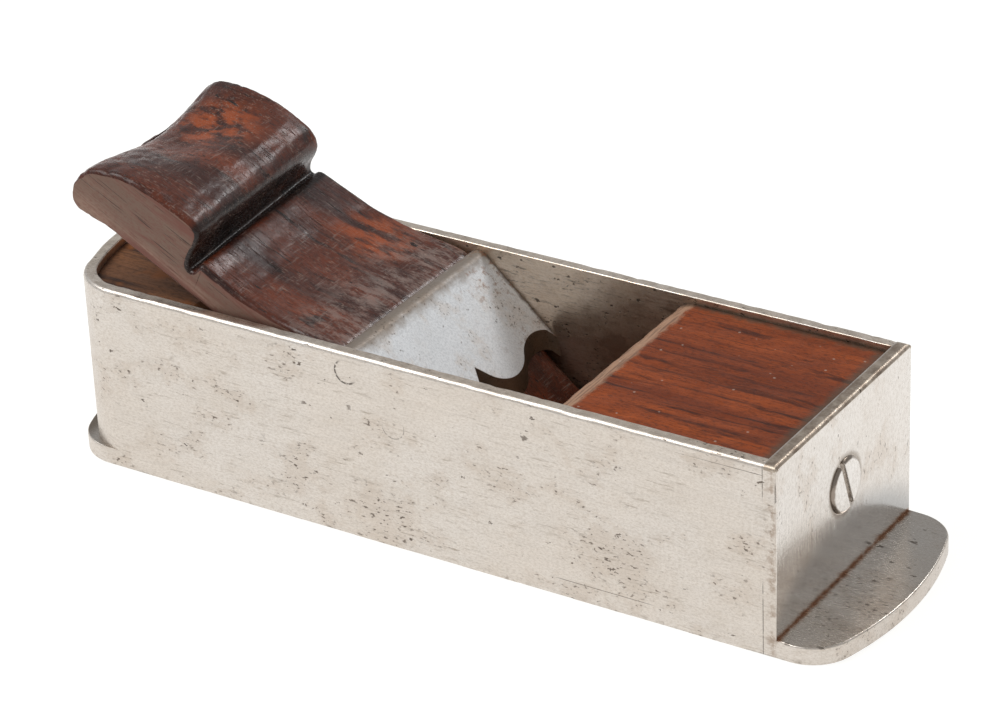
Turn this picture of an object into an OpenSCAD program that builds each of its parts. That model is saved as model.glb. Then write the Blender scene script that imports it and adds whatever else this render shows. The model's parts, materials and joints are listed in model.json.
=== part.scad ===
// Dovetailed steel mitre plane: a box of steel plates with wooden infills,
// a riveted bridge, and a wooden wedge that holds a low, bevel-up cutter.
// Toe towards +X, sole on Z = 0, origin under the middle of the whole plane.

/* [Body] */
// Length of the box, from the toe plate's face to the heel
body_length = 203.5; // [190:0.5:230]
// Width over the two sides
body_width = 67; // [62:0.5:76]
// Height of the rim above the sole's underside
body_height = 50; // [48:0.5:58]
// Thickness of the sides, the heel and the toe plate
wall_t = 3.4; // [2.6:0.1:4]
// Thickness of the sole
sole_t = 4.8; // [3.6:0.1:5.4]
// Plan radius of the two heel corners
heel_corner_r = 15; // [10:0.5:20]
// Plan radius of the shallow curve across the heel
heel_end_r = 70; // [60:1:120]

/* [Sole] */
// How far the sole runs out in front of the toe plate
tongue_length = 18; // [10:0.5:26]
// Plan radius of the tongue's corners
tongue_corner_r = 11.5; // [6:0.5:16]
// Plan radius of the tongue's front edge
tongue_end_r = 88; // [60:1:140]
// How far the sole's lip stands out behind the heel
heel_lip = 2.8; // [1:0.2:5]
// Plan radius of the lip's corners
lip_corner_r = 12.5; // [8:0.5:18]
// Distance of the mouth's rear edge behind the toe plate's face
mouth_back = 74.2; // [70:0.2:80]
// Opening of the mouth, measured along the sole
mouth_gap = 1.4; // [1:0.1:3]
// Width of the mouth slot
mouth_width = 58.4; // [58:0.2:60]

/* [Dovetails] */
// Number of tails that each side sends down into the sole
tail_count = 6; // [3:1:8]
// Length of one tail where it enters the sole
tail_length = 13; // [8:0.5:16]
// How much a tail widens towards its outer end, on each side
tail_flare = 1.2; // [0:0.1:2]
// Lower and upper height of the corner tail in the toe plate
toe_tail_low = 19.5; // [14:0.5:24]
// Upper height of the corner tail in the toe plate
toe_tail_high = 41; // [34:0.5:44]

/* [Infills] */
// Depth of the front infill's top below the rim
front_infill_drop = 1.8; // [0.5:0.1:4]
// Distance of the front infill's rear face behind the toe plate's face
front_infill_back = 61.7; // [55:0.1:64]
// Radius of the worn edge above the throat
throat_edge_r = 5; // [1:0.5:8]
// Depth of the rear infill's top below the rim
rear_infill_drop = 2.2; // [0.5:0.1:4]

/* [Bridge] */
// Slope of the bridge's upper face
bridge_angle = 42.5; // [38:0.5:46]
// Thickness of the bridge
bridge_t = 3.4; // [3.2:0.1:4]
// Distance of the bridge's upper edge behind the toe plate's face
bridge_back = 118; // [114:0.5:124]
// Depth of the bridge's upper edge below the rim
bridge_drop = 0.2; // [0:0.1:2]
// Length of the bridge down the slope, to the points at the sides
bridge_length = 30.2; // [29:0.1:33]
// Forward lean of the bow's cut edge from upright
bow_lean = 10; // [0:1:16]

/* [Cutter and wedge] */
// Slope of the bed
bed_angle = 28; // [27:0.5:29]
// Thickness of the cutter
cutter_t = 4.5; // [4:0.1:5]
// Width of the cutter
cutter_width = 57; // [50:0.5:57]
// Length of the cutter from its edge to its tail
cutter_length = 92; // [80:1:96]
// Angle of the cutter's bevel
bevel_angle = 28; // [24:1:32]
// Width of the wedge
wedge_width = 58.6; // [54:0.2:59.2]
// Gap left at each face that slides
fit = 0.1; // [0.05:0.01:0.15]

/* [Fasteners] */
// Radius of a bridge rivet's shank
rivet_r = 1; // [0.7:0.1:1.2]
// Radius of a rivet's countersunk end at the outer face
rivet_head_r = 3.1; // [2.6:0.1:3.4]
// Radius of the toe and heel screws' heads
screw_head_r = 7.2; // [5:0.1:8]
// Radius of the screws' shanks
screw_shank_r = 2.8; // [2:0.1:3.4]
// Height of the toe and heel screws above the sole's underside
screw_height = 28.8; // [25:0.1:33]

/* [Hidden] */
$fn = 96;

// Places along the body
toe_x = (body_length + heel_lip - tongue_length) / 2;
heel_x = toe_x - body_length;
mouth_x = toe_x - mouth_back;
throat_x = toe_x - front_infill_back;
bridge_x = toe_x - bridge_back;
bridge_z = body_height - bridge_drop;
half_width = body_width / 2;
half_inside = half_width - wall_t;
sole_split_x = mouth_x + mouth_gap / 2;
heel_corner_x = heel_x + heel_end_r
    - sqrt((heel_end_r - heel_corner_r) ^ 2 - (half_width - heel_corner_r) ^ 2);

// The two sole plates meet beside the mouth in a small tongue and groove
key_length = 2;
key_t = 1.6;

// Tenons that hold the toe plate down in the sole
tenon_length = 9;
tenon_pitch = 20;

// Screw heads stand a little proud and carry a single slot
screw_length = 24;
head_proud = 0.8;
slot_width = 1.5;
slot_depth = 1.7;
toe_slot_turn = 20;
heel_slot_turn = -65;
heel_screw_sink = 0.4;

// Bridge rivets: distances down the slope, and depth into the bridge
rivet_rows = [5.2, 22.4];
rivet_depth = 9;
rivet_sink = 1.6;

// The cupid's bow, as distance down the slope and distance from the middle
bow_cusp = 23.3;
lobe_centre = [22, 10];
lobe_r = 9.2;
notch_centre = [35, 23.5];
notch_r = norm(notch_centre - lobe_centre) - lobe_r;
notch_end = 28.8;

// The wedge's profile: distance up the slope from the cutting edge, height over its sole
wedge_tip = 11;
wedge_peak = 63.5;
head_front = 106.3;
head_nose_centre = [136.6, 5.3];
head_nose_r = 6.5;
head_top_centre = [116.5, -31.9];
head_top_r = 50;
bevel_run = cutter_t / tan(bevel_angle);

// Points on an arc in the plane, from one angle to another
function arc(centre, r, from, to, steps) =
    [for (i = [0:steps]) centre + r * [cos(from + (to - from) * i / steps),
                                       sin(from + (to - from) * i / steps)]];

// Straight-sided outline with one end closed by a three-centred arch, pointing to -X
module arch(half, corner_r, end_r, end_x, front_x) {
    end_c = end_x + end_r;
    corner_x = end_c - sqrt((end_r - corner_r) ^ 2 - (half - corner_r) ^ 2);
    translate([corner_x, -half]) square([front_x - corner_x, 2 * half]);
    for (side = [-1, 1]) translate([corner_x, side * (half - corner_r)]) circle(corner_r);
    intersection() {
        translate([end_c, 0]) circle(end_r);
        polygon([[end_c, 0],
                 [end_c - 2 * (end_c - corner_x), 2 * (half - corner_r)],
                 [end_c - 2 * (end_c - corner_x), -2 * (half - corner_r)]]);
    }
}

// Inner or outer outline of the bent side plate
module band_outline(inset) {
    arch(half_width - inset, heel_corner_r - inset, heel_end_r - inset, heel_x + inset, toe_x);
}

// Extrudes a profile drawn in X and Z across the plane's width
module across(width) {
    rotate([90, 0, 0]) linear_extrude(height = width, center = true) children();
}

// Places children whose +X runs up the bed and whose +Z stands square on it
module on_bed() {
    translate([mouth_x, 0, 0]) rotate([0, -bed_angle, 180]) children();
}

// Places children whose +X runs down the bridge and whose +Z is its upper face's normal
module on_bridge() {
    translate([bridge_x, 0, bridge_z]) rotate([0, bridge_angle, 0]) children();
}

// Everything above the bed plane, within a given width
module above_bed(width) {
    on_bed() translate([-20, -width / 2, -fit]) cube([240, width, 200]);
}

// Profile of one tail, wider at its outer end
module tail(length, depth, flare) {
    polygon([[-length / 2, 0], [length / 2, 0], [length / 2 + flare, -depth],
             [-length / 2 - flare, -depth]]);
}

// The tails that both sides send down through the sole's edges
module sole_tails() {
    pitch = (toe_x - heel_corner_x) / tail_count;
    for (side = [-1, 1], i = [0:tail_count - 1])
        translate([heel_corner_x + (i + 0.5) * pitch, side * (half_width - wall_t / 2), sole_t])
            across(wall_t) tail(tail_length, sole_t, tail_flare);
}

// The tails that both sides send forward into the toe plate
module toe_tails() {
    height = toe_tail_high - toe_tail_low;
    for (side = [-1, 1])
        translate([toe_x - wall_t, side * (half_width - wall_t / 2),
                   (toe_tail_high + toe_tail_low) / 2])
            across(wall_t) rotate(90) tail(height - 2 * tail_flare, wall_t, tail_flare);
}

// Tenons under the toe plate
module toe_tenons() {
    for (i = [-1:1])
        translate([toe_x - wall_t, i * tenon_pitch - tenon_length / 2, 0])
            cube([wall_t, tenon_length, sole_t + 1]);
}

// A slotted wood screw along +X, with its head's rim on X = 0
module screw(turn) {
    difference() {
        rotate([0, 90, 0]) union() {
            translate([0, 0, -wall_t]) cylinder(h = wall_t, r1 = screw_shank_r, r2 = screw_head_r);
            cylinder(h = head_proud, r1 = screw_head_r, r2 = screw_head_r - head_proud);
            translate([0, 0, -screw_length]) cylinder(h = screw_length - wall_t, r = screw_shank_r);
        }
        rotate([turn, 0, 0]) translate([head_proud - slot_depth, -slot_width / 2, -screw_head_r])
            cube([slot_depth + 1, slot_width, 2 * screw_head_r]);
    }
}

// The room that a screw takes in the plate and the wood
module screw_hole() {
    rotate([0, 90, 0]) union() {
        translate([0, 0, -wall_t]) cylinder(h = wall_t, r1 = screw_shank_r, r2 = screw_head_r);
        translate([0, 0, -screw_length]) cylinder(h = screw_length - wall_t, r = screw_shank_r);
        translate([0, 0, -0.001]) cylinder(h = wall_t, r = screw_head_r);
    }
}

module at_toe_screw() {
    translate([toe_x, 0, screw_height]) children();
}

module at_heel_screw() {
    translate([heel_x + heel_screw_sink, 0, screw_height]) rotate([0, 0, 180]) children();
}

// A rivet through one side into the bridge's end, countersunk and filed flush
module rivet(side, row) {
    on_bridge() translate([rivet_rows[row], side * half_width, -bridge_t / 2])
        rotate([side * 90, 0, 0]) {
            cylinder(h = rivet_sink, r1 = rivet_head_r, r2 = rivet_r);
            cylinder(h = wall_t + rivet_depth, r = rivet_r);
        }
}

module all_rivets() {
    for (side = [-1, 1], row = [0, 1]) rivet(side, row);
}

// The room that the rivets take in the sides, open at the outer faces
module all_rivet_holes() {
    all_rivets();
    for (side = [-1, 1], row = [0, 1])
        on_bridge() translate([rivet_rows[row], side * half_width, -bridge_t / 2])
            rotate([side * 90, 0, 0]) translate([0, 0, -1]) cylinder(h = 1, r = rivet_head_r);
}

// The part of the sole that lies in front of the mouth, with the tongue
module front_sole() {
    color("lightsteelblue") difference() {
        union() {
            linear_extrude(height = sole_t) mirror([1, 0])
                arch(half_width, tongue_corner_r, tongue_end_r, -toe_x - tongue_length,
                     -sole_split_x);
            mouth_keys();
        }
        translate([mouth_x, -mouth_width / 2, -1]) cube([mouth_gap, mouth_width, sole_t + 2]);
        sole_tails();
        toe_tenons();
    }
}

// Tongues that lock the front sole into the rear sole beside the mouth
module mouth_keys() {
    width = half_width - mouth_width / 2;
    for (side = [-1, 1])
        translate([sole_split_x - key_length, side > 0 ? mouth_width / 2 : -half_width,
                   (sole_t - key_t) / 2])
            cube([key_length, width, key_t]);
}

// The part of the sole behind the mouth, bevelled to the bed and lipped at the heel
module rear_sole() {
    color("slategray") difference() {
        linear_extrude(height = sole_t)
            arch(half_width, lip_corner_r, heel_end_r + heel_lip, heel_x - heel_lip, sole_split_x);
        above_bed(mouth_width);
        mouth_keys();
        sole_tails();
    }
}

// One plate bent round the heel: both sides in one piece
module side_band() {
    color("silver") difference() {
        union() {
            translate([0, 0, sole_t]) linear_extrude(height = body_height - sole_t)
                difference() {
                    band_outline(0);
                    band_outline(wall_t);
                    translate([toe_x - wall_t, -half_width]) square([2 * wall_t, body_width]);
                }
            sole_tails();
            toe_tails();
        }
        all_rivet_holes();
        at_heel_screw() screw_hole();
    }
}

// Upright plate across the toe, dovetailed to the sides and tenoned to the sole
module toe_plate() {
    color("gainsboro") difference() {
        union() {
            translate([toe_x - wall_t, -half_width, sole_t])
                cube([wall_t, body_width, body_height - sole_t]);
            toe_tenons();
        }
        toe_tails();
        at_toe_screw() screw_hole();
    }
}

// Wooden block in front of the throat, its rear edge worn round
module front_infill() {
    top = body_height - front_infill_drop;
    edge = [throat_x + throat_edge_r, top - throat_edge_r];
    color("sienna") difference() {
        across(2 * half_inside) {
            polygon([[toe_x - wall_t, sole_t], [toe_x - wall_t, top], [edge.x, top], edge,
                     [throat_x, edge.y], [mouth_x + mouth_gap + 1.2, sole_t]]);
            translate(edge) circle(throat_edge_r);
        }
        at_toe_screw() screw_hole();
    }
}

// Wooden block behind the mouth: the bed for the cutter and the filling of the heel
module rear_infill() {
    color("saddlebrown") difference() {
        translate([0, 0, sole_t]) linear_extrude(height = body_height - rear_infill_drop - sole_t)
            intersection() {
                band_outline(wall_t);
                translate([heel_x, -half_width]) square([mouth_x - heel_x, body_width]);
            }
        above_bed(body_width);
        at_heel_screw() screw_hole();
    }
}

// Outline of the bridge seen along the cut of its bow
module bow_outline() {
    squeeze = cos(bridge_angle + bow_lean);
    lobe_to_notch = atan2(notch_centre.y - lobe_centre.y, notch_centre.x - lobe_centre.x);
    to_cusp = [bow_cusp, 0] - lobe_centre;
    cusp_side = atan2(to_cusp.y, to_cusp.x) + acos(lobe_r / norm(to_cusp));
    notch_out = asin((notch_end - notch_centre.y) / notch_r);
    far_half = concat([[bow_cusp, 0]],
                      arc(lobe_centre, lobe_r, cusp_side, lobe_to_notch, 20),
                      arc(notch_centre, notch_r, lobe_to_notch + 180, 180 - notch_out, 20),
                      [[bridge_length, half_inside], [-20, half_inside]]);
    last = len(far_half) - 1;
    near_half = [for (i = [0:last - 1]) [far_half[last - i].x, -far_half[last - i].y]];
    polygon([for (p = concat(far_half, near_half)) [p.x * squeeze, p.y]]);
}

// Sloping steel bridge whose lower edge is cut as a cupid's bow
module bridge() {
    round_r = bridge_t - 0.4;
    color("lightgray") difference() {
        intersection() {
            on_bridge() across(2 * half_inside) intersection() {
                translate([0, -bridge_t]) square([bridge_length + 10, bridge_t]);
                union() {
                    translate([round_r, -bridge_t]) square([bridge_length + 10, bridge_t]);
                    translate([0, -bridge_t]) square([round_r, bridge_t - round_r]);
                    translate([round_r, -round_r]) circle(round_r);
                }
            }
            translate([bridge_x, 0, bridge_z]) rotate([0, -bow_lean, 0])
                linear_extrude(height = 120, center = true) bow_outline();
        }
        all_rivets();
    }
}

module near_upper_rivet() { color("gold") rivet(-1, 0); }
module near_lower_rivet() { color("gold") rivet(-1, 1); }
module far_upper_rivet() { color("gold") rivet(1, 0); }
module far_lower_rivet() { color("gold") rivet(1, 1); }

// Slotted screw through the toe plate into the front infill
module toe_screw() {
    color("dimgray") at_toe_screw() screw(toe_slot_turn);
}

// Slotted screw through the heel into the rear infill
module heel_screw() {
    color("dimgray") at_heel_screw() screw(heel_slot_turn);
}

// Thick tapered-tail cutter, bedded bevel up
module cutter() {
    tail_clip = 9;
    color("steelblue") on_bed() intersection() {
        across(cutter_width)
            polygon([[0, 0], [bevel_run, cutter_t], [cutter_length, cutter_t], [cutter_length, 0]]);
        linear_extrude(height = 3 * cutter_t, center = true)
            polygon([[-1, -half_width], [-1, half_width], [cutter_length - tail_clip, half_width],
                     [cutter_length, half_inside - 2 * tail_clip],
                     [cutter_length, 2 * tail_clip - half_inside],
                     [cutter_length - tail_clip, -half_width]]);
    }
}

// Height of the wedge's working face over its sole, at a distance up the slope
function wedge_top(s) =
    let (dx = bridge_x - mouth_x - bridge_t * sin(bridge_angle),
         dz = bridge_z - bridge_t * cos(bridge_angle))
    let (s0 = -dx * cos(bed_angle) + dz * sin(bed_angle),
         t0 = dx * sin(bed_angle) + dz * cos(bed_angle) - cutter_t - fit)
    t0 + (s - s0) * tan(bridge_angle - bed_angle) - fit / cos(bridge_angle - bed_angle);

// Wooden wedge: a tapered tongue under the bridge and a rounded head to tap and pull
module wedge() {
    color("brown") on_bed() translate([0, 0, cutter_t + fit]) across(wedge_width)
        polygon(concat([[wedge_tip, 0], [wedge_tip, wedge_top(wedge_tip)],
                        [wedge_peak, wedge_top(wedge_peak)],
                        [66, 15.1], [73.5, 13], [81.5, 10.7], [92, 9.3],
                        [head_front - 1.5, 9.5],
                        [head_front, 11], [head_front, 13.5], [head_front + 2.2, 17.2]],
                       arc(head_top_centre, head_top_r, 95, 63, 12),
                       arc(head_nose_centre, head_nose_r, 50, -80, 10),
                       [[133, 0]]));
}

front_sole();
rear_sole();
side_band();
toe_plate();
front_infill();
rear_infill();
bridge();
near_upper_rivet();
near_lower_rivet();
far_upper_rivet();
far_lower_rivet();
toe_screw();
heel_screw();
cutter();
wedge();
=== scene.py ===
"""Looks of the dovetailed steel mitre plane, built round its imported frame.

Everything is in metres in the frame's own axes: toe towards +X, sole on Z = 0.
The side that the reference view shows is the one at -Y, called the near side.
"""

import json
import math

import bmesh
import bpy
from mathutils import Matrix, Vector, noise


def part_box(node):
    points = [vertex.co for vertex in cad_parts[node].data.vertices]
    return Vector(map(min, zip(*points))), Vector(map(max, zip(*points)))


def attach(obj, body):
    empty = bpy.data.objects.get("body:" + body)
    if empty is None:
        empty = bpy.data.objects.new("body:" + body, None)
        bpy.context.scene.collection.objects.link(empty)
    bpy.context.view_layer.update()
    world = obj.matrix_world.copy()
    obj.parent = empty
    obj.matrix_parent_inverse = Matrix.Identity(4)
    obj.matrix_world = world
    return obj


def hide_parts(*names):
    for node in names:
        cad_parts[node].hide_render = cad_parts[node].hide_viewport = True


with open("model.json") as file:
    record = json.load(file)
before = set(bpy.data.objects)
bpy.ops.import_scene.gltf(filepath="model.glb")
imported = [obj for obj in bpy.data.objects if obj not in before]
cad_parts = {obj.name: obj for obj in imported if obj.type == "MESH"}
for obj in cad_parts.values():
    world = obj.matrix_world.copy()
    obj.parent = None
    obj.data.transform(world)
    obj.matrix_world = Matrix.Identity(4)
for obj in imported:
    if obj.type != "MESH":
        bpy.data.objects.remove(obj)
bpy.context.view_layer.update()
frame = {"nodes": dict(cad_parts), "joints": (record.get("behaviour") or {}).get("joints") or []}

MM = 0.001

# How far the arrises are rounded, and how deep the wear goes
RIM_ROUNDING = 1.2 * MM
INNER_RIM_ROUNDING = 0.35 * MM
CORNER_ROUNDING = 0.35 * MM
SIDE_FOOT_ROUNDING = 0.40 * MM
SOLE_ROUNDING = 0.50 * MM
SEAM_ROUNDING = 0.05 * MM
BRIDGE_ROUNDING = 0.14 * MM
SCREW_ROUNDING = 0.30 * MM
CUTTER_ROUNDING = 0.15 * MM
RIM_WEAR = 0.32 * MM
TOE_RIM_WEAR = 0.18 * MM
INFILL_WEAR = 0.35 * MM
SHARP_ANGLE = math.radians(30)
MERGE_DISTANCE = 2e-6

# Places read from the frame
BAND_LO, BAND_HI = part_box("side_band")
TOE_LO, TOE_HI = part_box("toe_plate")
INFILL_LO, INFILL_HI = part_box("front_infill")
CUTTER_LO, CUTTER_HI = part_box("cutter")
SCREW_LO, SCREW_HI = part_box("toe_screw")

TOE_X = TOE_HI.x
SEAM_X = TOE_LO.x
HEEL_X = BAND_LO.x
RIM_Z = BAND_HI.z
SOLE_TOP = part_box("front_sole")[1].z
BRIDGE_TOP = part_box("bridge")[1].z
HALF_WIDTH = BAND_HI.y
HALF_INSIDE = INFILL_HI.y
HALF_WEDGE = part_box("wedge")[1].y
SCREW_Z = (SCREW_LO.z + SCREW_HI.z) / 2
SCREW_R = (SCREW_HI.z - SCREW_LO.z) / 2

# The bed: the wedge and the cutter slide along UP_BED, and BED_NORMAL stands on it
WEDGE_SLIDE = next(joint for joint in frame["joints"] if joint["name"] == "wedge_slide")
UP_BED = Vector(WEDGE_SLIDE["axis"]).normalized()
BED_NORMAL = Vector((UP_BED.z, 0.0, -UP_BED.x))
BED_ANGLE = math.atan2(UP_BED.z, -UP_BED.x)
EDGE = Vector((CUTTER_HI.x, 0.0, CUTTER_LO.z))
WEDGE_BASE = 4.6 * MM  # the wedge's sole over the bed, with the cutter between them

# The camera of the reference view
CAMERA_AZIMUTH = math.radians(33.07)
CAMERA_ELEVATION = math.radians(28.18)
CAMERA_ROLL = math.radians(-2.44)
CAMERA_DISTANCE = 938.7 * MM
CAMERA_TARGET = Vector((0.72, 0.0, 37.89)) * MM
CAMERA_LENS = 140.2
CAMERA_SENSOR = 36.0

# The studio: the sky's strength and each softbox's watts
SKY = 0.56
KEY_WATTS = 10.5
RIGHT_WATTS = 1.05
BACK_WATTS = 3.0
STUDIO_AIM = (0, 0, 0.03)

BLACK_GRIME = (0.030, 0.020, 0.014, 1.0)
RUST = (0.23, 0.125, 0.070, 1.0)


# ---------------------------------------------------------------- procedural materials

class Shader:
    """One principled material built out of procedural nodes in object space."""

    def __init__(self, name):
        self.material = bpy.data.materials.new(name)
        self.material.use_nodes = True
        self.tree = self.material.node_tree
        self.bsdf = self.tree.nodes["Principled BSDF"]
        self.place = self.add("ShaderNodeTexCoord").outputs["Object"]
        split = self.add("ShaderNodeSeparateXYZ")
        self.feed(split.inputs[0], self.place)
        self.x, self.y, self.z = split.outputs

    def add(self, kind, **settings):
        node = self.tree.nodes.new(kind)
        for key, value in settings.items():
            setattr(node, key, value)
        return node

    def feed(self, socket, value):
        if isinstance(value, bpy.types.NodeSocket):
            self.tree.links.new(value, socket)
        else:
            socket.default_value = value

    def mapped(self, scale=(1, 1, 1), turn=(0, 0, 0)):
        """Object coordinates turned, then scaled: a small factor draws a texture out."""
        turned = self.add("ShaderNodeMapping")
        self.feed(turned.inputs["Vector"], self.place)
        turned.inputs["Rotation"].default_value = turn
        scaled = self.add("ShaderNodeMapping")
        self.feed(scaled.inputs["Vector"], turned.outputs["Vector"])
        scaled.inputs["Scale"].default_value = scale
        return scaled.outputs["Vector"]

    def noise(self, vector, scale, detail=4.0, rough=0.55, warp=0.0, seed=0.0):
        node = self.add("ShaderNodeTexNoise", noise_dimensions="4D")
        self.feed(node.inputs["Vector"], vector)
        node.inputs["Scale"].default_value = scale
        node.inputs["Detail"].default_value = detail
        node.inputs["Roughness"].default_value = rough
        node.inputs["Distortion"].default_value = warp
        node.inputs["W"].default_value = seed
        return node.outputs["Fac"]

    def cells(self, vector, scale):
        """Distance to the nearest of the scattered points of a cell texture."""
        node = self.add("ShaderNodeTexVoronoi")
        self.feed(node.inputs["Vector"], vector)
        node.inputs["Scale"].default_value = scale
        return node.outputs["Distance"]

    def ramp(self, value, low, high, start=0.0, end=1.0):
        """Goes smoothly from start at low to end at high."""
        node = self.add("ShaderNodeMapRange", interpolation_type="SMOOTHSTEP")
        self.feed(node.inputs["Value"], value)
        node.inputs["From Min"].default_value = min(low, high)
        node.inputs["From Max"].default_value = max(low, high)
        node.inputs["To Min"].default_value = start if low < high else end
        node.inputs["To Max"].default_value = end if low < high else start
        return node.outputs["Result"]

    def math(self, operation, *values):
        node = self.add("ShaderNodeMath", operation=operation)
        for socket, value in zip(node.inputs, values):
            self.feed(socket, value)
        return node.outputs[0]

    def times(self, *values):
        result = values[0]
        for value in values[1:]:
            result = self.math("MULTIPLY", result, value)
        return result

    def mix(self, factor, first, second):
        node = self.add("ShaderNodeMix", data_type="RGBA")
        colours = [socket for socket in node.inputs if socket.type == "RGBA"]
        self.feed(node.inputs[0], factor)
        self.feed(colours[0], first)
        self.feed(colours[1], second)
        return next(socket for socket in node.outputs if socket.type == "RGBA")

    def near_plane(self, coordinate, place, reach, ragged=0.5):
        """1 at a plane, falling to 0 at about reach from it, with a ragged border."""
        away = self.math("ABSOLUTE", self.math("SUBTRACT", coordinate, place))
        rag = self.noise(self.place, 330, 4, 0.65, seed=21)
        shift = self.math("MULTIPLY", self.math("SUBTRACT", rag, 0.5), reach * ragged * 4)
        return self.ramp(self.math("ADD", away, shift), reach, 0.0)

    def near_point(self, point, flatten=(1, 1, 1)):
        """Distance to a point, with the axes whose factor is 0 left out."""
        flat = self.add("ShaderNodeVectorMath", operation="MULTIPLY")
        self.feed(flat.inputs[0], self.place)
        flat.inputs[1].default_value = flatten
        far = self.add("ShaderNodeVectorMath", operation="DISTANCE")
        self.feed(far.inputs[0], flat.outputs[0])
        far.inputs[1].default_value = [p * f for p, f in zip(point, flatten)]
        return far.outputs["Value"]

    def bump(self, height, strength, distance, under=None):
        node = self.add("ShaderNodeBump")
        self.feed(node.inputs["Height"], height)
        node.inputs["Strength"].default_value = strength
        node.inputs["Distance"].default_value = distance
        if under is not None:
            self.feed(node.inputs["Normal"], under)
        return node.outputs["Normal"]

    def finish(self, **sockets):
        for key, value in sockets.items():
            self.feed(self.bsdf.inputs[key.replace("_", " ")], value)
        return self.material


def tone(value, warmth=0.0):
    """A grey of that strength, warm if warmth is positive and bluish if negative."""
    return (value * (1 + warmth), value, value * (1 - warmth), 1.0)


def stretch(along, factor):
    """Scale factors that draw a texture out along one axis."""
    return tuple(factor if axis == along else 1.0 for axis in "XYZ")


def steel(name, along="X", value=0.64, warmth=0.07, rough=0.38, pits=1.0, stain=0.3, lines=1.0,
          clusters=(), dirt_and_painted_light=(), metallic=0.97):
    """Old scoured plate: fine lines one way, broken dark dashes, pits in clusters, stains.

    clusters holds (point, radius) pairs where the pits crowd together, and dirt holds
    (function of the shader giving a mask, strength, colour) triples: stains and grime, and
    also painted shade, reflection and highlight.
    """
    s = Shader(name)
    brushed = s.noise(s.mapped(stretch(along, 0.05)), 2400, 3, 0.7)
    dashes = s.noise(s.mapped(stretch(along, 0.10)), 1500, 4, 0.75, seed=3)
    mottle = s.noise(s.mapped(stretch(along, 0.5)), 2300, 4, 0.8, seed=4)
    cloud = s.noise(s.place, 30, 5, 0.6, seed=1)
    blotch = s.noise(s.mapped(stretch(along, 0.6)), 90, 6, 0.68, seed=7)
    gathered = s.ramp(s.noise(s.mapped(stretch(along, 0.5)), 90, 4, 0.7, seed=9), 0.42, 0.62)

    # Pits: dark peaks of fine noises, most of them where a wide noise gathers them
    crowd = s.ramp(s.noise(s.mapped(stretch(along, 0.7)), 85, 4, 0.7, seed=11), 0.50, 0.64)
    for point, radius in clusters:
        gone = s.math("ADD", s.near_point(point, (1, 0, 1)),
                      s.times(s.math("SUBTRACT", s.noise(s.place, 160, 4, 0.7, seed=16), 0.5),
                              radius * 3))
        crowd = s.math("MAXIMUM", crowd, s.ramp(gone, radius, 0.3 * radius))
    small = s.ramp(s.noise(s.mapped(stretch(along, 0.45)), 1500, 2, 0.6, seed=12), 0.58, 0.66)
    large = s.ramp(s.noise(s.mapped(stretch(along, 0.55)), 560, 3, 0.6, seed=14), 0.655, 0.69)
    loose = s.ramp(s.noise(s.place, 70, 3, 0.6, seed=18), 0.38, 0.56)
    pit = s.math("MAXIMUM", s.times(small, crowd), s.times(large, loose))
    pit = s.math("MINIMUM", s.times(pit, pits), 1.0)

    base = s.mix(s.ramp(cloud, 0.35, 0.68), tone(value * 0.94, warmth * 1.4), tone(value, warmth))
    base = s.mix(s.ramp(blotch, 0.50, 0.78, 0.0, stain), base,
                 (value * 0.80, value * 0.68, value * 0.54, 1))
    base = s.mix(s.ramp(mottle, 0.42, 0.64, 0.0, 0.62), base, tone(value * 0.64, warmth * 2.2))
    base = s.mix(s.times(crowd, 0.32), base, (value * 0.72, value * 0.58, value * 0.46, 1))
    base = s.mix(s.times(s.ramp(dashes, 0.53, 0.66), gathered, 0.75 * lines), base,
                 tone(value * 0.40, 0.2))
    base = s.mix(s.ramp(brushed, 0.35, 0.72, 0.0, 0.16 * lines), base, tone(value * 0.66, warmth))
    for mask, strength, colour in dirt_and_painted_light:
        base = s.mix(s.times(mask(s), strength), base, colour)
    base = s.mix(s.times(pit, 0.85), base, (0.085, 0.062, 0.045, 1))

    roughness = s.math("ADD", s.ramp(brushed, 0.3, 0.7, rough - 0.06, rough + 0.08),
                       s.ramp(blotch, 0.5, 0.8, 0.0, 0.12))
    height = s.math("SUBTRACT", s.math("ADD", s.times(brushed, 0.2 * lines), s.times(mottle, 0.2)),
                    pit)
    normal = s.bump(height, 0.30, 0.10 * MM, s.bump(cloud, 0.10, 1.2 * MM))
    return s.finish(Base_Color=base, Roughness=roughness, Metallic=metallic, Normal=normal)


def broken_ring(centre, radius, width, opening, seed):
    """A mask for a thin ring on the near side that fades out towards one direction."""
    def mask(s):
        away = s.near_point((centre[0], 0, centre[1]), (1, 0, 1))
        ring = s.ramp(s.math("ABSOLUTE", s.math("SUBTRACT", away, radius)), width, 0.0)
        across = s.math("ADD", s.times(s.math("SUBTRACT", s.x, centre[0]), opening[0] / radius),
                        s.times(s.math("SUBTRACT", s.z, centre[1]), opening[1] / radius))
        whole = s.ramp(across, 0.35, -0.35)
        gaps = s.ramp(s.noise(s.place, 900, 2, 0.5, seed=seed), 0.34, 0.44)
        return s.times(ring, whole, gaps)
    return mask


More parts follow.
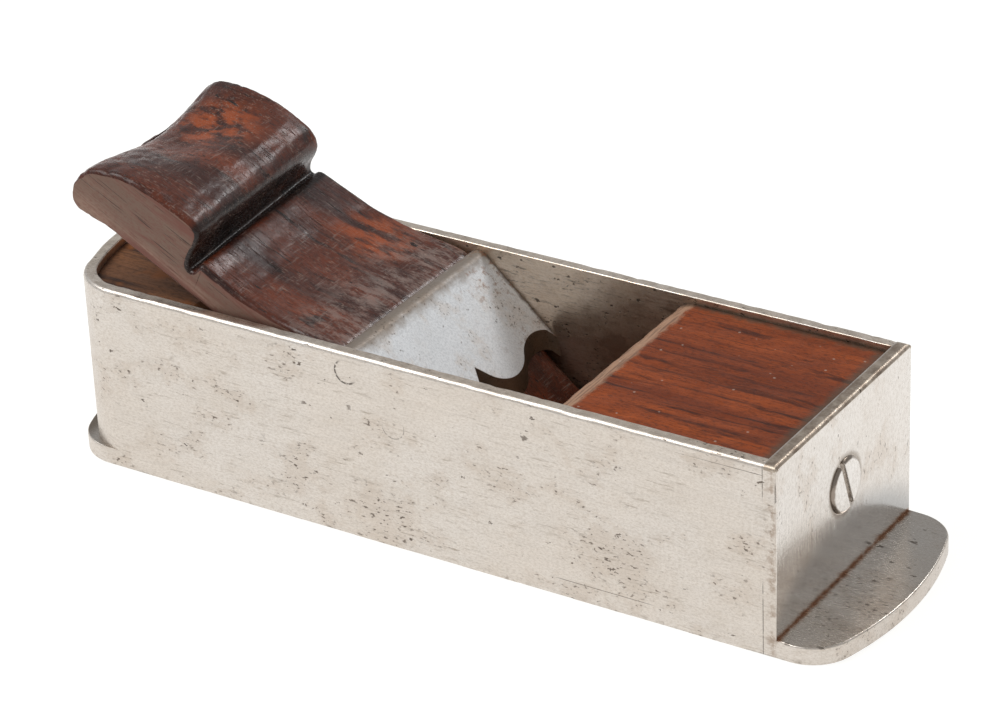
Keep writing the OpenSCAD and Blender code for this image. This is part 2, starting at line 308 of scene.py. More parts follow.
def rosewood(name, light, dark, streak, rough=0.30, turn=(0, 0, 0), scale=210.0, shine=0.25,
             relief=0.30, streaks=0.5, cracks=0.0, dirt_and_painted_light=()):
    """Oiled rosewood: wandering dark streaks, fibres, short open pores and fine cracks.

    The grain runs along X after the turn, and dirt is as in steel.
    """
    s = Shader(name)
    drawn = s.mapped(stretch("X", 0.07), turn)
    fine = s.mapped(stretch("X", 0.035), turn)
    wander = s.noise(drawn, scale * 0.4, 4, 0.55, 0.6, seed=2)
    bands = s.noise(drawn, scale, 6, 0.62, 1.1, seed=5)
    fibre = s.noise(fine, scale * 7, 4, 0.7, seed=9)
    pores = s.ramp(s.noise(fine, scale * 11, 2, 0.5, seed=13), 0.60, 0.72)
    patch = s.noise(s.place, 70, 4, 0.6, seed=19)
    speckle = s.noise(s.mapped(stretch("X", 0.4), turn), 1900, 3, 0.7, seed=21)
    split = s.ramp(s.noise(s.mapped(stretch("X", 0.05), turn), 620, 3, 0.5, 0.8, seed=25),
                   0.665, 0.69)
    base = s.mix(s.ramp(wander, 0.36, 0.66), light, dark)
    base = s.mix(s.ramp(bands, streaks, streaks + 0.16), base, streak)
    base = s.mix(s.ramp(patch, 0.40, 0.70, 0.0, 0.55), base, dark)
    base = s.mix(s.ramp(fibre, 0.35, 0.75, 0.0, 0.5), base, dark)
    base = s.mix(s.ramp(speckle, 0.45, 0.70, 0.0, 0.55), base, streak)
    base = s.mix(s.times(pores, 0.7), base, (0.010, 0.005, 0.004, 1))
    for mask, strength, colour in dirt_and_painted_light:
        base = s.mix(s.times(mask(s), strength), base, colour)
    base = s.mix(s.times(split, cracks), base, (0.006, 0.004, 0.003, 1))
    roughness = s.ramp(fibre, 0.3, 0.75, rough - 0.06, rough + 0.18)
    lumps = s.noise(s.place, 700, 5, 0.65, seed=23)
    height = s.math("SUBTRACT", s.times(fibre, 0.4), s.math("ADD", pores, s.times(split, cracks)))
    normal = s.bump(height, relief, 0.30 * MM, s.bump(lumps, relief, 0.14 * MM))
    s.bsdf.inputs["Specular IOR Level"].default_value = shine
    return s.finish(Base_Color=base, Roughness=roughness, Normal=normal, IOR=1.48)


# ---------------------------------------------------------------- mesh helpers

def new_object(name, bm, materials):
    """An object in the scene with the bmesh's faces. The bmesh is used up."""
    mesh = bpy.data.meshes.new(name)
    bm.to_mesh(mesh)
    bm.free()
    for material in materials:
        mesh.materials.append(material)
    piece = bpy.data.objects.new(name, mesh)
    bpy.context.scene.collection.objects.link(piece)
    return piece


def welded(node):
    """A copy of the node's mesh with its doubled points joined and its flat faces whole."""
    bm = bmesh.new()
    bm.from_mesh(frame["nodes"][node].data)
    bmesh.ops.remove_doubles(bm, verts=bm.verts, dist=MERGE_DISTANCE)
    bmesh.ops.dissolve_limit(bm, angle_limit=math.radians(0.5), verts=bm.verts, edges=bm.edges)
    return bm


def round_edges(bm, edges, width, segments):
    """Bevels edges to a round, width away from each of them."""
    if edges:
        bmesh.ops.bevel(bm, geom=edges, offset=width, offset_type="OFFSET", segments=segments,
                        profile=0.5, affect="EDGES", clamp_overlap=False)


def sharp_edges(bm, chosen, angle=SHARP_ANGLE):
    """The sharp edges whose two ends both pass a test."""
    return [e for e in bm.edges if len(e.link_faces) == 2 and e.calc_face_angle(0) > angle
            and chosen(e.verts[0].co) and chosen(e.verts[1].co)]


def soften(bm, width, chosen, segments=2, angle=SHARP_ANGLE):
    """Rounds the sharp edges whose two ends both pass a test."""
    round_edges(bm, sharp_edges(bm, chosen, angle), width, segments)


def soften_level(bm, width, chosen, segments):
    """Rounds only the level edges among those that soften would round."""
    edges = [e for e in sharp_edges(bm, chosen)
             if abs(e.verts[0].co.z - e.verts[1].co.z) < 0.01 * MM]
    round_edges(bm, edges, width, segments)


def slice_up(bm, axis, start, stop, step, zone):
    """Cuts the faces whose middle lies in a zone by evenly spaced planes."""
    normal = Vector([1.0 if a == axis else 0.0 for a in "XYZ"])
    for k in range(int((stop - start) / step) + 1):
        faces = [f for f in bm.faces if zone(f.calc_center_median())]
        geom = faces + list(dict.fromkeys(e for f in faces for e in f.edges))
        geom += list(dict.fromkeys(v for f in faces for v in f.verts))
        bmesh.ops.bisect_plane(bm, geom=geom, plane_co=normal * (start + k * step),
                               plane_no=normal, dist=1e-7)


def wear(bm, depth, scale, zone, seed=0.0, threshold=0.0):
    """Pushes the points in a zone inwards by a seeded noise, deeper where it is strong."""
    bm.normal_update()
    moves = []
    for vert in bm.verts:
        if zone(vert.co):
            wave = noise.fractal(vert.co * scale + Vector((seed, seed, seed)), 1.0, 2.0, 3)
            moves.append((vert, vert.normal * depth * max(0.0, wave - threshold)))
    for vert, move in moves:
        vert.co -= move


def paint(piece, rule):
    """Gives each face the material slot that a rule names for its middle and normal."""
    for face in piece.data.polygons:
        face.material_index = rule(face.center, face.normal)


def settle(piece, body, slot, *nodes, angle=35):
    """Smooth shading that keeps flat faces flat, then the piece goes on its body."""
    piece.data.shade_smooth()
    piece.data.set_sharp_from_angle(angle=math.radians(angle))
    modifier = piece.modifiers.new("even_normals", "WEIGHTED_NORMAL")
    modifier.keep_sharp = True
    modifier.weight = 100
    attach(piece, body)
    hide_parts(*nodes)


def close(a, b, by=0.03 * MM):
    """Whether two lengths are the same within the tolerance of the mesh."""
    return abs(a - b) < by


# ---------------------------------------------------------------- the camera and the studio

def add_camera():
    """The camera of the reference view. Back points from its target to the camera."""
    back = Vector((math.sin(CAMERA_AZIMUTH) * math.cos(CAMERA_ELEVATION),
                   -math.cos(CAMERA_AZIMUTH) * math.cos(CAMERA_ELEVATION),
                   math.sin(CAMERA_ELEVATION)))
    right = (-back).cross(Vector((0, 0, 1))).normalized()
    up = right.cross(-back)
    turned_right = math.cos(CAMERA_ROLL) * right + math.sin(CAMERA_ROLL) * up
    turned_up = -math.sin(CAMERA_ROLL) * right + math.cos(CAMERA_ROLL) * up
    camera = bpy.data.objects.new("camera", bpy.data.cameras.new("camera"))
    bpy.context.scene.collection.objects.link(camera)
    camera.data.lens = CAMERA_LENS
    camera.data.sensor_width = CAMERA_SENSOR
    camera.data.clip_start = 0.05
    camera.data.clip_end = 20.0
    place = Matrix((turned_right, turned_up, back)).transposed().to_4x4()
    place.translation = CAMERA_TARGET + back * CAMERA_DISTANCE
    camera.matrix_world = place
    bpy.context.scene.camera = camera


def add_softbox(name, place, size, watts, colour=(1, 1, 1)):
    """A rectangular area light that faces the middle of the body."""
    light = bpy.data.lights.new(name, "AREA")
    light.shape = "RECTANGLE"
    light.size, light.size_y = size
    light.energy = watts
    light.color = colour
    box = bpy.data.objects.new(name, light)
    bpy.context.scene.collection.objects.link(box)
    box.location = place
    view = Vector(STUDIO_AIM) - Vector(place)
    box.rotation_euler = view.to_track_quat("-Z", "Y").to_euler()


def add_floor():
    """A white floor just under the sole, which belongs to the studio."""
    bm = bmesh.new()
    bmesh.ops.create_grid(bm, x_segments=1, y_segments=1, size=3.0)
    s = Shader("studio_floor")
    material = s.finish(Base_Color=(0.25, 0.25, 0.245, 1), Roughness=0.9,
                        Emission_Color=(1.0, 0.995, 0.98, 1), Emission_Strength=0.86)
    floor = new_object("studio_floor", bm, [material])
    floor.location.z = -0.05 * MM


def add_studio():
    world = bpy.data.worlds.new("studio")
    world.use_nodes = True
    background = world.node_tree.nodes["Background"]
    background.inputs["Color"].default_value = (0.84, 0.85, 0.86, 1)
    background.inputs["Strength"].default_value = SKY
    bpy.context.scene.world = world
    bpy.context.scene.view_settings.view_transform = "Standard"
    add_floor()
    add_softbox("key_softbox", (-0.70, -0.50, 1.12), (0.8, 0.8), KEY_WATTS)
    add_softbox("right_panel", (0.56, 1.06, 0.98), (0.9, 0.45), RIGHT_WATTS)
    add_softbox("back_softbox", (0.24, 1.08, 1.02), (0.30, 0.30), BACK_WATTS, (0.98, 0.99, 1))


# ---------------------------------------------------------------- the steel box

def rim_edges(bm, outer):
    """The sharp edges of the rim's top, on its outer or on its inner side."""
    found = []
    for edge in bm.edges:
        level = all(close(v.co.z, RIM_Z) for v in edge.verts)
        if level and edge.calc_face_angle(0) > SHARP_ANGLE:
            wall = min(edge.link_faces, key=lambda f: abs(f.normal.z))
            middle = (edge.verts[0].co + edge.verts[1].co) / 2
            outwards = wall.normal.x * middle.x + wall.normal.y * middle.y > 0
            if outwards == outer and not close(middle.x, SEAM_X):
                found.append(edge)
    return found


def on_lower_edge(p):
    """Whether a point lies on the line where the sole's underside meets a side."""
    return p.z < 0.01 * MM and close(abs(p.y), HALF_WIDTH)


def on_toe_corner(p):
    """Whether a point lies on an upright corner at the toe."""
    return close(p.x, TOE_X) and close(abs(p.y), HALF_WIDTH)


def build_side_band(m):
    bm = welded("side_band")
    round_edges(bm, rim_edges(bm, outer=True), RIM_ROUNDING, 5)
    round_edges(bm, rim_edges(bm, outer=False), INNER_RIM_ROUNDING, 2)
    soften(bm, SEAM_ROUNDING, lambda p: close(p.x, SEAM_X) and p.z < RIM_Z - 2 * MM, segments=1)
    soften(bm, CORNER_ROUNDING, on_toe_corner, segments=3)
    soften_level(bm, SIDE_FOOT_ROUNDING, on_lower_edge, segments=3)
    slice_up(bm, "X", HEEL_X + 16 * MM, TOE_X, 1.6 * MM, lambda p: p.z > RIM_Z - 1.3 * MM)

    def worn(p):
        return p.z > RIM_Z - 1.1 * MM and not close(p.x, SEAM_X)

    wear(bm, RIM_WEAR, 330, worn, threshold=0.12)
    piece = new_object("side_plates_and_heel", bm, [m["side"], m["rim"], m["inner"], m["toe"]])

    def rule(p, n):
        if n.x > 0.9 and close(p.x, TOE_X, 0.1 * MM):
            return 3
        if n.z > 0.93 and p.z > RIM_Z - 2 * MM:
            return 1
        inner = abs(p.y) < HALF_INSIDE + 0.1 * MM and p.x > HEEL_X + 1.5 * MM
        return 2 if inner and abs(n.z) < 0.5 and (n.y * p.y < 0 or n.x > 0.3) else 0

    paint(piece, rule)
    settle(piece, "box", "plate_steel", "side_band")


def build_toe_plate(m):
    bm = welded("toe_plate")
    round_edges(bm, rim_edges(bm, outer=True), RIM_ROUNDING, 5)
    soften(bm, CORNER_ROUNDING, on_toe_corner, segments=3)
    slice_up(bm, "Y", -HALF_WIDTH, HALF_WIDTH, 1.3 * MM, lambda p: p.z > RIM_Z - 1.3 * MM)

    def worn(p):
        return p.z > RIM_Z - 1.2 * MM and p.x > TOE_X - 0.7 * MM

    wear(bm, TOE_RIM_WEAR, 420, worn, seed=4.0, threshold=0.18)
    soften_level(bm, SIDE_FOOT_ROUNDING, on_lower_edge, segments=3)
    piece = new_object("toe_plate_worn", bm, [m["side"], m["toe_rim"], m["toe"], m["inner"]])

    def rule(p, n):
        if p.z > RIM_Z - 1 * MM and n.z > 0.15:
            return 1
        if n.x < -0.9:
            return 3
        return 2 if n.x > 0.9 else 0

    paint(piece, rule)
    settle(piece, "box", "plate_steel", "toe_plate")


def build_soles(m):
    def outline(p):
        past_toe = p.x > TOE_X + 0.3 * MM
        past_heel = p.x < HEEL_X + 13 * MM
        return past_toe or past_heel or on_lower_edge(p)

    def rule(p, n):
        if n.z < -0.9:
            return 2
        return 1 if n.z > 0.9 and p.z > SOLE_TOP - 0.5 * MM else 0

    for node, name in (("front_sole", "front_sole_with_tongue"), ("rear_sole", "rear_sole_lip")):
        bm = welded(node)
        soften_level(bm, SOLE_ROUNDING, outline, segments=3)
        bmesh.ops.remove_doubles(bm, verts=bm.verts, dist=MERGE_DISTANCE / 2)
        bmesh.ops.dissolve_degenerate(bm, edges=bm.edges, dist=MERGE_DISTANCE / 2)
        piece = new_object(name, bm, [m["side"], m["tongue"], m["bottom"]])
        paint(piece, rule)
        settle(piece, "box", "plate_steel", node)


def build_bridge(m):
    bm = welded("bridge")
    soften(bm, BRIDGE_ROUNDING, lambda p: True, angle=math.radians(32))
    piece = new_object("bridge_with_bow", bm, [m["bridge"], m["cut"]])
    upper = max(piece.data.polygons, key=lambda f: f.area if f.normal.z > 0.3 else 0).normal.copy()

    def rule(p, n):
        facing = n.dot(upper)
        return 0 if facing > 0.95 or (facing > 0 and p.z > BRIDGE_TOP - 4 * MM) else 1

    paint(piece, rule)
    settle(piece, "box", "bridge_steel", "bridge")


def build_rivets(m):
    for node in ("near_upper_rivet", "near_lower_rivet", "far_upper_rivet", "far_lower_rivet"):
        bm = welded(node)
        soften(bm, SEAM_ROUNDING, lambda p: close(abs(p.y), HALF_WIDTH))
        piece = new_object(f"{node}_filed_flush", bm, [m["side"]])
        settle(piece, "box", "plate_steel", node)


def build_screws(m):
    for node in ("toe_screw", "heel_screw"):
        bm = welded(node)
        soften(bm, SCREW_ROUNDING, lambda p: abs(p.x) > 90 * MM, segments=3)
        piece = new_object(f"{node}_head_and_shank", bm, [m["screw"]])
        settle(piece, "box", "screw_steel", node)


def build_cutter(m):
    bm = welded("cutter")
    soften(bm, CUTTER_ROUNDING, lambda p: p.z > 5 * MM)
    piece = new_object("tapered_cutter", bm, [m["cutter"]])
    settle(piece, "cutter_body", "cutter_steel", "cutter")


# ---------------------------------------------------------------- the wooden pieces

def build_front_infill(m):
    bm = welded("front_infill")
    top = INFILL_HI.z
    floor = top - 6 * MM
    for axis, start, stop in (("X", INFILL_LO.x, INFILL_HI.x), ("Y", INFILL_LO.y, INFILL_HI.y),
                              ("Z", floor, top)):
        slice_up(bm, axis, start, stop, 1.4 * MM, lambda p: p.z > floor)

    def worn(p):
        return HALF_INSIDE - abs(p.y) >= 0.01 * MM and p.z >= top - 7 * MM

    wear(bm, INFILL_WEAR, 210, worn, seed=8.0, threshold=-0.1)
    piece = new_object("front_infill_block", bm, [m["front"]])
    settle(piece, "box", "infill_wood", "front_infill", angle=60)


def build_rear_infill(m):
    bm = welded("rear_infill")
    piece = new_object("rear_infill_block", bm, [m["rear"]])
    settle(piece, "box", "infill_wood", "rear_infill", angle=50)


# The wedge's outline, (distance up the bed, height over the wedge's sole) in mm, from the tip
# over the upper face and the head and back, for its near side and its far side
WEDGE_NEAR = ((63.5, 15.6), (66, 15.1), (73.5, 13.0), (81.5, 10.7), (92, 9.3), (99, 9.1),
              (103.9, 9.5), (104.7, 8.4), (105.0, 6.0), (106.5, 5.8), (106.9, 9), (106.7, 12.5),
              (106.8, 15.4), (107.9, 17.3), (110.4, 18.2), (116.8, 18.2), (122.3, 17.9),
              (127.9, 17.1), (133.1, 15.5), (137.7, 13.1), (141.2, 10.4), (143.1, 6.6),
              (143.0, 2.6), (141.5, -0.4), (139.1, -1.5), (136.5, -1.2), (133.4, -0.6), (129, 0))
WEDGE_FAR = ((63.5, 15.6), (66, 15.0), (73.5, 13.0), (81.5, 10.6), (91, 8.6), (98, 8.1),
             (105.2, 7.6), (107.8, 7.5), (108.4, 5.2), (110.0, 5.0), (110.6, 7.5), (110.3, 11.0),
             (110.6, 13.4), (112.0, 15.2), (114.8, 16.3), (120, 16.7), (125, 16.5),
             (129.6, 15.6), (134.1, 14.3), (138.7, 12.7), (142.6, 10.2), (144.6, 7.0),
             (144.8, 3.0), (143.4, -0.2), (141, -1.4), (138, -1.1), (134.4, -0.5), (129, 0))
WEDGE_TIP_S = 11.0  # from the cutter's edge up to the tip
WEDGE_TOP_ANGLE = math.radians(42.5)  # slope of the tapered part's upper face
WEDGE_STEP = 0.6  # between the points along the outline
WEDGE_STATIONS = 56  # steps across the width
WEDGE_TURNS = 5  # steps in the rounding of each side
SCOOP_DEPTH = 4.4  # of the hollow in the head


def wedge_outline(blend):
    """The closed outline at a place across the width: blend is 0 near, 1 far."""
    shoulder_s, shoulder_t = WEDGE_NEAR[0]
    tip_top = shoulder_t - (shoulder_s - WEDGE_TIP_S) * math.tan(WEDGE_TOP_ANGLE - BED_ANGLE)
    upper = [Vector(a).lerp(Vector(b), blend) for a, b in zip(WEDGE_NEAR, WEDGE_FAR)]
    return [Vector((WEDGE_TIP_S, 0.0)), Vector((WEDGE_TIP_S, tip_top))] + upper


def resampled(points, counts):
    """Each side of a closed outline split into its own count of equal steps."""
    result = []
    for k, point in enumerate(points):
        following = points[(k + 1) % len(points)]
        result += [point.lerp(following, i / counts[k]) for i in range(counts[k])]
    return result


def smoothed(points, rounds):
    """Corners of a closed outline rounded by averaging neighbours."""
    for _ in range(rounds):
        points = [(points[i - 1] + 2 * p + points[(i + 1) % len(points)]) / 4
                  for i, p in enumerate(points)]
    return points


def smooth_step(value, low, high):
    """0 up to low, 1 from high on, and a smooth rise between them."""
    t = min(1.0, max(0.0, (value - low) / (high - low)))
    return t * t * (3 - 2 * t)


def wedge_section(v, counts):
    """Points (s, t) and outward normals at v, from -1 at the near side to 1 at the far one."""
    share = (v + 1) / 2
    points = smoothed(resampled(wedge_outline(share), counts), 3)
    scoop = SCOOP_DEPTH * math.sin(math.pi * share ** 1.25) ** 1.3
    for p in points:
        weight = smooth_step(p.x, 117, 137) * smooth_step(p.y, 0, 6)
        p.y -= scoop * weight
        p.x -= 0.35 * scoop * weight
    normals = []
    for i in range(len(points)):
        along = points[(i + 1) % len(points)] - points[i - 1]
        normals.append(Vector((-along.y, along.x)).normalized())
    return points, normals


def wedge_place(s, t, y):
    """The point s mm up the bed and t mm over the wedge's sole, at y across."""
    return EDGE + UP_BED * (s * MM) + BED_NORMAL * (WEDGE_BASE + t * MM) + Vector((0, y, 0))


def wedge_dent(place, s, t):
    """How far in mm the worn surface lies under the drawn one: 0 where it beds on steel."""
    if t < 0.4 and s < 126:
        return 0.0
    on_head = smooth_step(s, 100, 112)
    free = smooth_step(s, 58, 68)
    broad = noise.fractal(place * 110, 1.0, 2.0, 3)
    fine = noise.fractal(place * 420 + Vector((7, 0, 0)), 0.8, 2.0, 3)
    rear = smooth_step(s, 126, 138)
    depth = 0.22 * max(0.0, broad + 0.35) * free + 0.06 * max(0.0, fine + 0.2)
    return depth + 0.08 * on_head * max(0.0, fine + 0.1) + 0.22 * rear * max(0.0, fine)


def build_wedge(m):
    """The wedge: rings of its outline from side to side, the outer ones drawn in and rounded."""
    near = wedge_outline(0.0)
    counts = [max(1, round((near[(k + 1) % len(near)] - p).length / WEDGE_STEP))
              for k, p in enumerate(near)]
    turns = [k * 90 / WEDGE_TURNS for k in range(WEDGE_TURNS)]
    rings = [(-1.0, turn) for turn in turns]
    rings += [(2 * i / WEDGE_STATIONS - 1, 90) for i in range(WEDGE_STATIONS + 1)]
    rings += [(1.0, turn) for turn in reversed(turns)]

    bm = bmesh.new()
    loops = []
    for v, turn in rings:
        points, normals = wedge_section(v, counts)
        loop = []
        for p, n in zip(points, normals):
            radius = 0.45 + 1.15 * smooth_step(p.x, 66, 78) * smooth_step(p.y, 2, 8)
            radius += min(0.5 * max(0.0, p.y), 4.5) * (1 - smooth_step(p.x, 26, 50))
            inset = radius * (1 - math.sin(math.radians(turn)))
            y = v * (HALF_WEDGE - radius * MM * (1 - math.cos(math.radians(turn))))
            s, t = p.x - n.x * inset, p.y - n.y * inset
            dent = wedge_dent(wedge_place(s, t, y), s, t)
            loop.append(bm.verts.new(wedge_place(s - n.x * dent, t - n.y * dent, y)))
        loops.append(loop)
    count = len(loops[0])
    for first, second in zip(loops, loops[1:]):
        for i in range(count):
            j = (i + 1) % count
            bm.faces.new((first[i], first[j], second[j], second[i]))
    bm.faces.new(reversed(loops[0]))
    bm.faces.new(loops[-1])
    bmesh.ops.recalc_face_normals(bm, faces=bm.faces)
    piece = new_object("wedge_with_carved_head", bm, [m["wedge"], m["wedge_side"]])
    paint(piece, lambda p, n: 1 if abs(n.y) > 0.97 else 0)
    settle(piece, "wedge_body", "wedge_wood", "wedge", angle=60)


# ---------------------------------------------------------------- the finishes

def steel_finishes():
    """Every steel, with the stains and lines that the reference view shows on it, and some painted
    shade, reflection and highlight.
    """
    def rivet_ring(node, width, opening, seed):
        low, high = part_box(node)
        centre = ((low.x + high.x) / 2, (low.z + high.z) / 2)
        return broken_ring(centre, (high.x - low.x) / 2, width, opening, seed)

    def toe_corner(s):
        spots = s.ramp(s.noise(s.place, 380, 4, 0.7, seed=73), 0.46, 0.60)
        return s.times(s.near_plane(s.x, TOE_X - 1.2 * MM, 2.2 * MM), spots)

    def toe_seam(s):
        parts = s.noise(s.place, 420, 2, seed=31)
        heights = s.math("MAXIMUM", s.ramp(s.z, 40 * MM, 42 * MM), s.ramp(s.z, 20 * MM, 18 * MM))
        line = s.near_plane(s.x, SEAM_X, 0.16 * MM, ragged=0.1)
        return s.times(line, heights, s.ramp(parts, 0.35, 0.5))

    def sole_seam(s):
        line = s.near_plane(s.z, SOLE_TOP, 0.14 * MM, ragged=0.1)
        length = s.times(s.ramp(s.x, 35 * MM, 37 * MM), s.ramp(s.x, 64 * MM, 58 * MM))
        return s.times(line, length)

    def rim_crack(s):
        line = s.near_plane(s.z, RIM_Z - 2.7 * MM, 0.12 * MM, ragged=0.25)
        return s.times(line, s.ramp(s.x, 62 * MM, 86 * MM), s.ramp(s.x, SEAM_X, SEAM_X - 0.2 * MM))

    # Painted reflection: the toe plate darker low down, in an arch, for the dark reflection of the
    # sole's tongue.
    def toe_painted_reflection(s):
        spread = s.times(s.math("SUBTRACT", s.noise(s.place, 60, 3, 0.5, seed=71), 0.5), 6 * MM)
        arch = s.times(s.math("MULTIPLY", s.y, s.y), -10.0)
        height = s.math("SUBTRACT", s.math("ADD", s.z, spread), arch)
        return s.ramp(height, 26 * MM, 17 * MM)

    def heel_lip(s):
        return s.ramp(s.x, HEEL_X + 8 * MM, HEEL_X + 3 * MM)

    # Painted highlight: a pale line along the toe rim's inner arris.
    def inner_arris_highlight(s):
        return s.near_plane(s.x, SEAM_X, 0.45 * MM, 0.4)

    def low_edge(s):
        spots = s.ramp(s.noise(s.place, 300, 4, 0.7, seed=33), 0.50, 0.66)
        return s.times(s.near_plane(s.z, 0.0, 2.0 * MM), spots)

    def junction(s):
        return s.times(s.near_plane(s.x, TOE_X, 1.5 * MM, 0.6),
                       s.near_plane(s.z, SOLE_TOP, 1.5 * MM, 0.6))

    def upper_edge(s):
        return s.near_plane(s.z, BRIDGE_TOP, 3.0 * MM, 0.25)

    def wall_edge(s):
        return s.near_plane(s.y, HALF_INSIDE, 1.4 * MM, 0.5)

    def bow_rust(s):
        spots = s.ramp(s.noise(s.place, 600, 4, 0.7, seed=63), 0.52, 0.62)
        right = s.ramp(s.y, 6 * MM, 26 * MM)
        return s.times(spots, right, s.ramp(s.noise(s.place, 150, 3, seed=65), 0.42, 0.6))

    # Painted shade: a brown-grey ring on the screw head's border and the plate round it, for the
    # shadow of its recess.
    def screw_border_shade(s):
        away = s.near_point((0, 0, SCREW_Z), (0, 1, 1))
        rag = s.noise(s.place, 500, 3, 0.6, seed=61)
        away = s.math("ADD", away, s.times(s.math("SUBTRACT", rag, 0.5), 1.2 * MM))
        inside = s.ramp(away, SCREW_R - 1.1 * MM, SCREW_R - 0.5 * MM)
        return s.times(inside, s.ramp(away, SCREW_R + 1.6 * MM, SCREW_R))

    # Darker down the inner walls and towards the toe, in patches.
    def inner_wall_darkening(s):
        spread = s.noise(s.place, 120, 4, 0.65, seed=35)
        down = s.times(s.ramp(s.z, RIM_Z, RIM_Z - 22 * MM), 0.6)
        right = s.times(s.ramp(s.x, -4 * MM, 24 * MM), 0.5)
        patches = s.ramp(spread, 0.45, 0.75, -0.2, 0.5)
        return s.math("MINIMUM", s.math("ADD", down, s.math("ADD", right, patches)), 1.0)

    def all_over(s):
        return s.ramp(s.noise(s.place, 260, 5, 0.7, seed=37), 0.38, 0.62)

    upper_ring = rivet_ring("near_upper_rivet", 0.40 * MM, (0.75, 0.65), 41)
    lower_ring = rivet_ring("near_lower_rivet", 0.20 * MM, (-0.2, 0.95), 43)
    return {
        "side": steel("side_steel", value=0.67, clusters=(
            ((-37 * MM, 0, 14 * MM), 9 * MM), ((-12 * MM, 0, 9 * MM), 12 * MM),
            ((52 * MM, 0, 14 * MM), 14 * MM)), dirt_and_painted_light=[
            (upper_ring, 0.95, BLACK_GRIME), (lower_ring, 0.55, BLACK_GRIME),
            (toe_corner, 0.60, (0.26, 0.17, 0.11, 1)), (toe_seam, 0.9, BLACK_GRIME),
            (sole_seam, 0.85, BLACK_GRIME), (rim_crack, 0.8, BLACK_GRIME),
            (low_edge, 0.55, (0.16, 0.115, 0.08, 1))]),
        "rim": steel("rim_steel", value=0.80, warmth=0.10, rough=0.30, pits=1.3, stain=0.6,
                     dirt_and_painted_light=[(all_over, 0.30, (0.22, 0.15, 0.10, 1))]),
        "inner": steel("inner_steel", value=0.84, warmth=0.14, rough=0.34, pits=1.6, stain=0.8,
                       lines=1.6, dirt_and_painted_light=[(inner_wall_darkening, 0.75, (0.22, 0.13, 0.08, 1))]),
        "toe": steel("toe_steel", along="Z", rough=0.17, pits=0.8, value=0.74, warmth=0.05,
                     lines=0.12, stain=0.2, dirt_and_painted_light=[
                         (toe_painted_reflection, 0.62, (0.26, 0.27, 0.28, 1)), (junction, 0.9, RUST),
                         (screw_border_shade, 0.7, (0.22, 0.17, 0.125, 1))]),
        "tongue": steel("tongue_steel", rough=0.24, value=0.49, warmth=0.07, pits=1.2, lines=0.15,
                        dirt_and_painted_light=[(junction, 0.9, RUST), (heel_lip, 0.75, (0.17, 0.125, 0.085, 1))]),
        "bottom": steel("bottom_steel", rough=0.22, value=0.60, warmth=0.05, pits=0.6),
        "toe_rim": steel("toe_rim_steel", value=0.48, warmth=0.13, rough=0.40, pits=1.3, stain=0.8,
                         dirt_and_painted_light=[(all_over, 0.70, (0.19, 0.135, 0.10, 1)),
                               (inner_arris_highlight, 0.60, tone(0.72, 0.05))]),
        "bridge": steel("bridge_steel", value=0.76, warmth=-0.01, rough=0.50, metallic=0.6,
                        pits=0.9, stain=0.3, lines=0.10, dirt_and_painted_light=[
                            (upper_edge, 0.85, (0.20, 0.145, 0.10, 1)),
                            (wall_edge, 0.85, (0.10, 0.06, 0.04, 1)),
                            (bow_rust, 0.7, (0.26, 0.13, 0.07, 1))]),
        # Painted shade: the bow's cut faces get a dark copy of the steel, with brown stains.
        "cut": steel("bridge_cut_shaded_steel", value=0.20, warmth=0.16, rough=0.45, pits=1.0, stain=0.8),
        "screw": steel("screw_steel", along="Z", rough=0.20, value=0.80, warmth=0.04, pits=0.4,
                       lines=0.2, dirt_and_painted_light=[(screw_border_shade, 0.85, (0.20, 0.15, 0.11, 1))]),
        "cutter": steel("cutter_steel", value=0.36, warmth=0.05, rough=0.38, pits=1.2),
    }


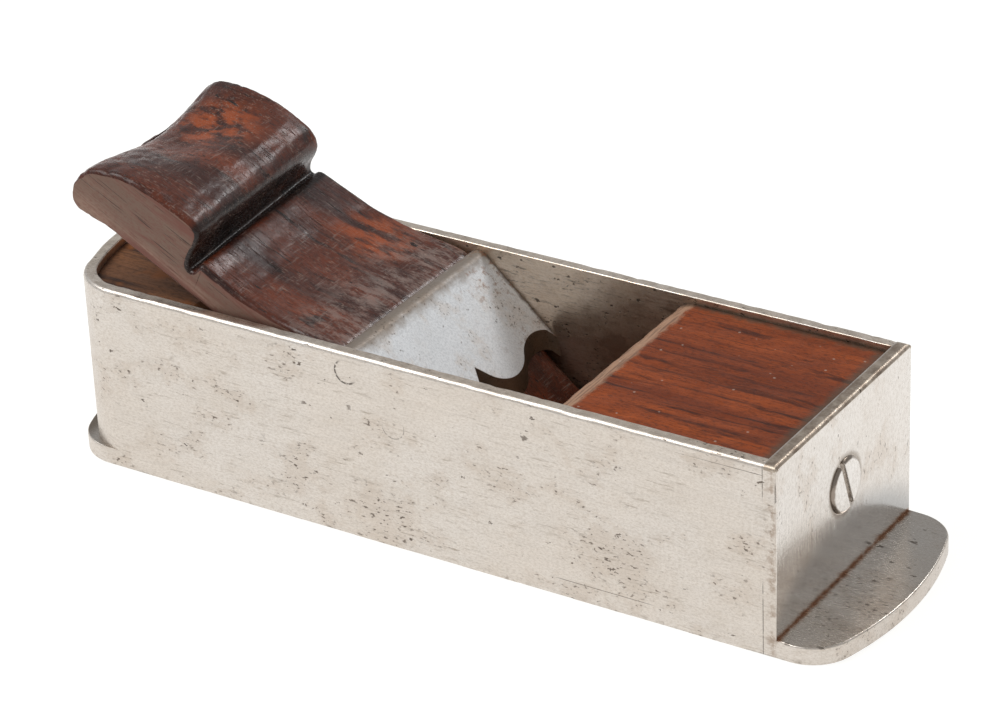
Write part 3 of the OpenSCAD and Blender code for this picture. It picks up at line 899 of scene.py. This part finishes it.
def wood_finishes():
    """Every wood, with the worn, pale and dark places of the reference view, and painted shade and
    sheen on the wedge.
    """
    grain_turn = (0, -BED_ANGLE, 0)

    # Darker along the side walls and the toe plate.
    def edges(s):
        far = s.near_plane(s.y, HALF_INSIDE, 3.0 * MM)
        near = s.near_plane(s.y, -HALF_INSIDE, 1.4 * MM)
        toe = s.near_plane(s.x, SEAM_X - 1.6 * MM, 3.0 * MM, 0.3)
        return s.math("MAXIMUM", s.math("MAXIMUM", far, near), toe)

    def end_grain(s):
        rag = s.noise(s.mapped((1, 0.35, 1)), 700, 4, 0.7, seed=51)
        place = s.math("ADD", s.x, s.times(s.math("SUBTRACT", rag, 0.5), 4.0 * MM))
        return s.ramp(place, INFILL_LO.x + 16.2 * MM, INFILL_LO.x + 14.6 * MM)

    def end_lines(s):
        lines = s.noise(s.mapped((1, 0.06, 1)), 1900, 3, 0.6, seed=52)
        return s.times(end_grain(s), s.ramp(lines, 0.46, 0.60))

    def specks(s):
        return s.ramp(s.cells(s.place, 210), 0.085, 0.05)

    def orange(s):
        return s.ramp(s.noise(s.place, 85, 3, 0.5, seed=53), 0.56, 0.68)

    def far_orange(s):
        spot = s.ramp(s.near_point((-45 * MM, 18 * MM, 57 * MM)), 16 * MM, 6 * MM)
        head = s.ramp(s.near_point((-88 * MM, 12 * MM, 79 * MM)), 16 * MM, 5 * MM)
        fleck = s.ramp(s.noise(s.mapped((0.3, 1, 1), grain_turn), 330, 4, 0.6, seed=55), 0.40, 0.60)
        return s.times(s.math("MAXIMUM", spot, head), fleck)

    def frayed(s):
        fibres = s.noise(s.mapped((0.25, 1, 1), grain_turn), 420, 5, 0.75, seed=58)
        return s.times(s.ramp(s.x, -52 * MM, -25 * MM), s.ramp(s.z, 42 * MM, 50 * MM),
                       s.ramp(fibres, 0.42, 0.60))

    # Painted shade: near black in the groove under the wedge's head.
    def painted_shade_under_head(s):
        up = s.math("ADD", s.times(s.math("SUBTRACT", s.x, EDGE.x), UP_BED.x),
                    s.times(s.math("SUBTRACT", s.z, EDGE.z), UP_BED.z))
        return s.ramp(s.math("ABSOLUTE", s.math("SUBTRACT", up, 107.5 * MM)), 3.2 * MM, 1.6 * MM)

    def scratches(s):
        lines = s.noise(s.mapped((0.07, 1, 1), grain_turn), 2600, 3, 0.6, seed=67)
        return s.times(s.ramp(lines, 0.56, 0.66), s.ramp(s.noise(s.place, 150, 4, seed=69),
                                                         0.44, 0.58))

    # Pale greyish streaks in patches: partly dust, partly a painted sheen.
    def dust_and_sheen(s):
        lines = s.noise(s.mapped((1, 0.08, 1), grain_turn), 2200, 3, 0.6, seed=57)
        return s.times(s.ramp(lines, 0.54, 0.68), s.ramp(s.noise(s.place, 120, 3, seed=59),
                                                         0.42, 0.6))

    return {
        "front": rosewood("front_rosewood", (0.38, 0.080, 0.016, 1), (0.17, 0.035, 0.011, 1),
                          (0.030, 0.011, 0.008, 1), shine=0.15, rough=0.36, scale=300.0, dirt_and_painted_light=[
                              (end_grain, 0.9, (0.40, 0.24, 0.155, 1)),
                              (end_lines, 0.7, (0.13, 0.075, 0.05, 1)),
                              (edges, 0.85, (0.095, 0.062, 0.042, 1)),
                              (specks, 0.35, (0.60, 0.50, 0.42, 1))]),
        "rear": rosewood("rear_rosewood", (0.27, 0.115, 0.048, 1), (0.15, 0.070, 0.036, 1),
                         (0.022, 0.009, 0.007, 1), rough=0.5, shine=0.2,
                         dirt_and_painted_light=[(orange, 0.8, (0.28, 0.095, 0.025, 1))]),
        "wedge": rosewood("wedge_rosewood", (0.185, 0.040, 0.014, 1), (0.048, 0.013, 0.008, 1),
                          (0.013, 0.006, 0.005, 1), turn=grain_turn, rough=0.22, shine=0.34,
                          relief=0.40, cracks=0.9, dirt_and_painted_light=[(far_orange, 0.75, (0.36, 0.075, 0.018, 1)),
                              (painted_shade_under_head, 0.85, (0.008, 0.005, 0.004, 1)),
                              (frayed, 0.50, (0.40, 0.31, 0.27, 1)),
                              (scratches, 0.50, (0.34, 0.24, 0.19, 1)),
                              (dust_and_sheen, 0.38, (0.30, 0.24, 0.21, 1))]),
        "wedge_side": rosewood("wedge_side_rosewood", (0.28, 0.175, 0.130, 1),
                               (0.150, 0.092, 0.068, 1), (0.15, 0.055, 0.040, 1),
                               turn=grain_turn, rough=0.5, shine=0.25, streaks=0.46),
    }


def main():
    """The camera, the studio and every visible piece."""
    add_camera()
    add_studio()
    finishes = {**steel_finishes(), **wood_finishes()}
    for build in (build_side_band, build_toe_plate, build_soles, build_bridge, build_rivets,
                  build_screws, build_cutter, build_front_infill, build_rear_infill, build_wedge):
        build(finishes)


main()
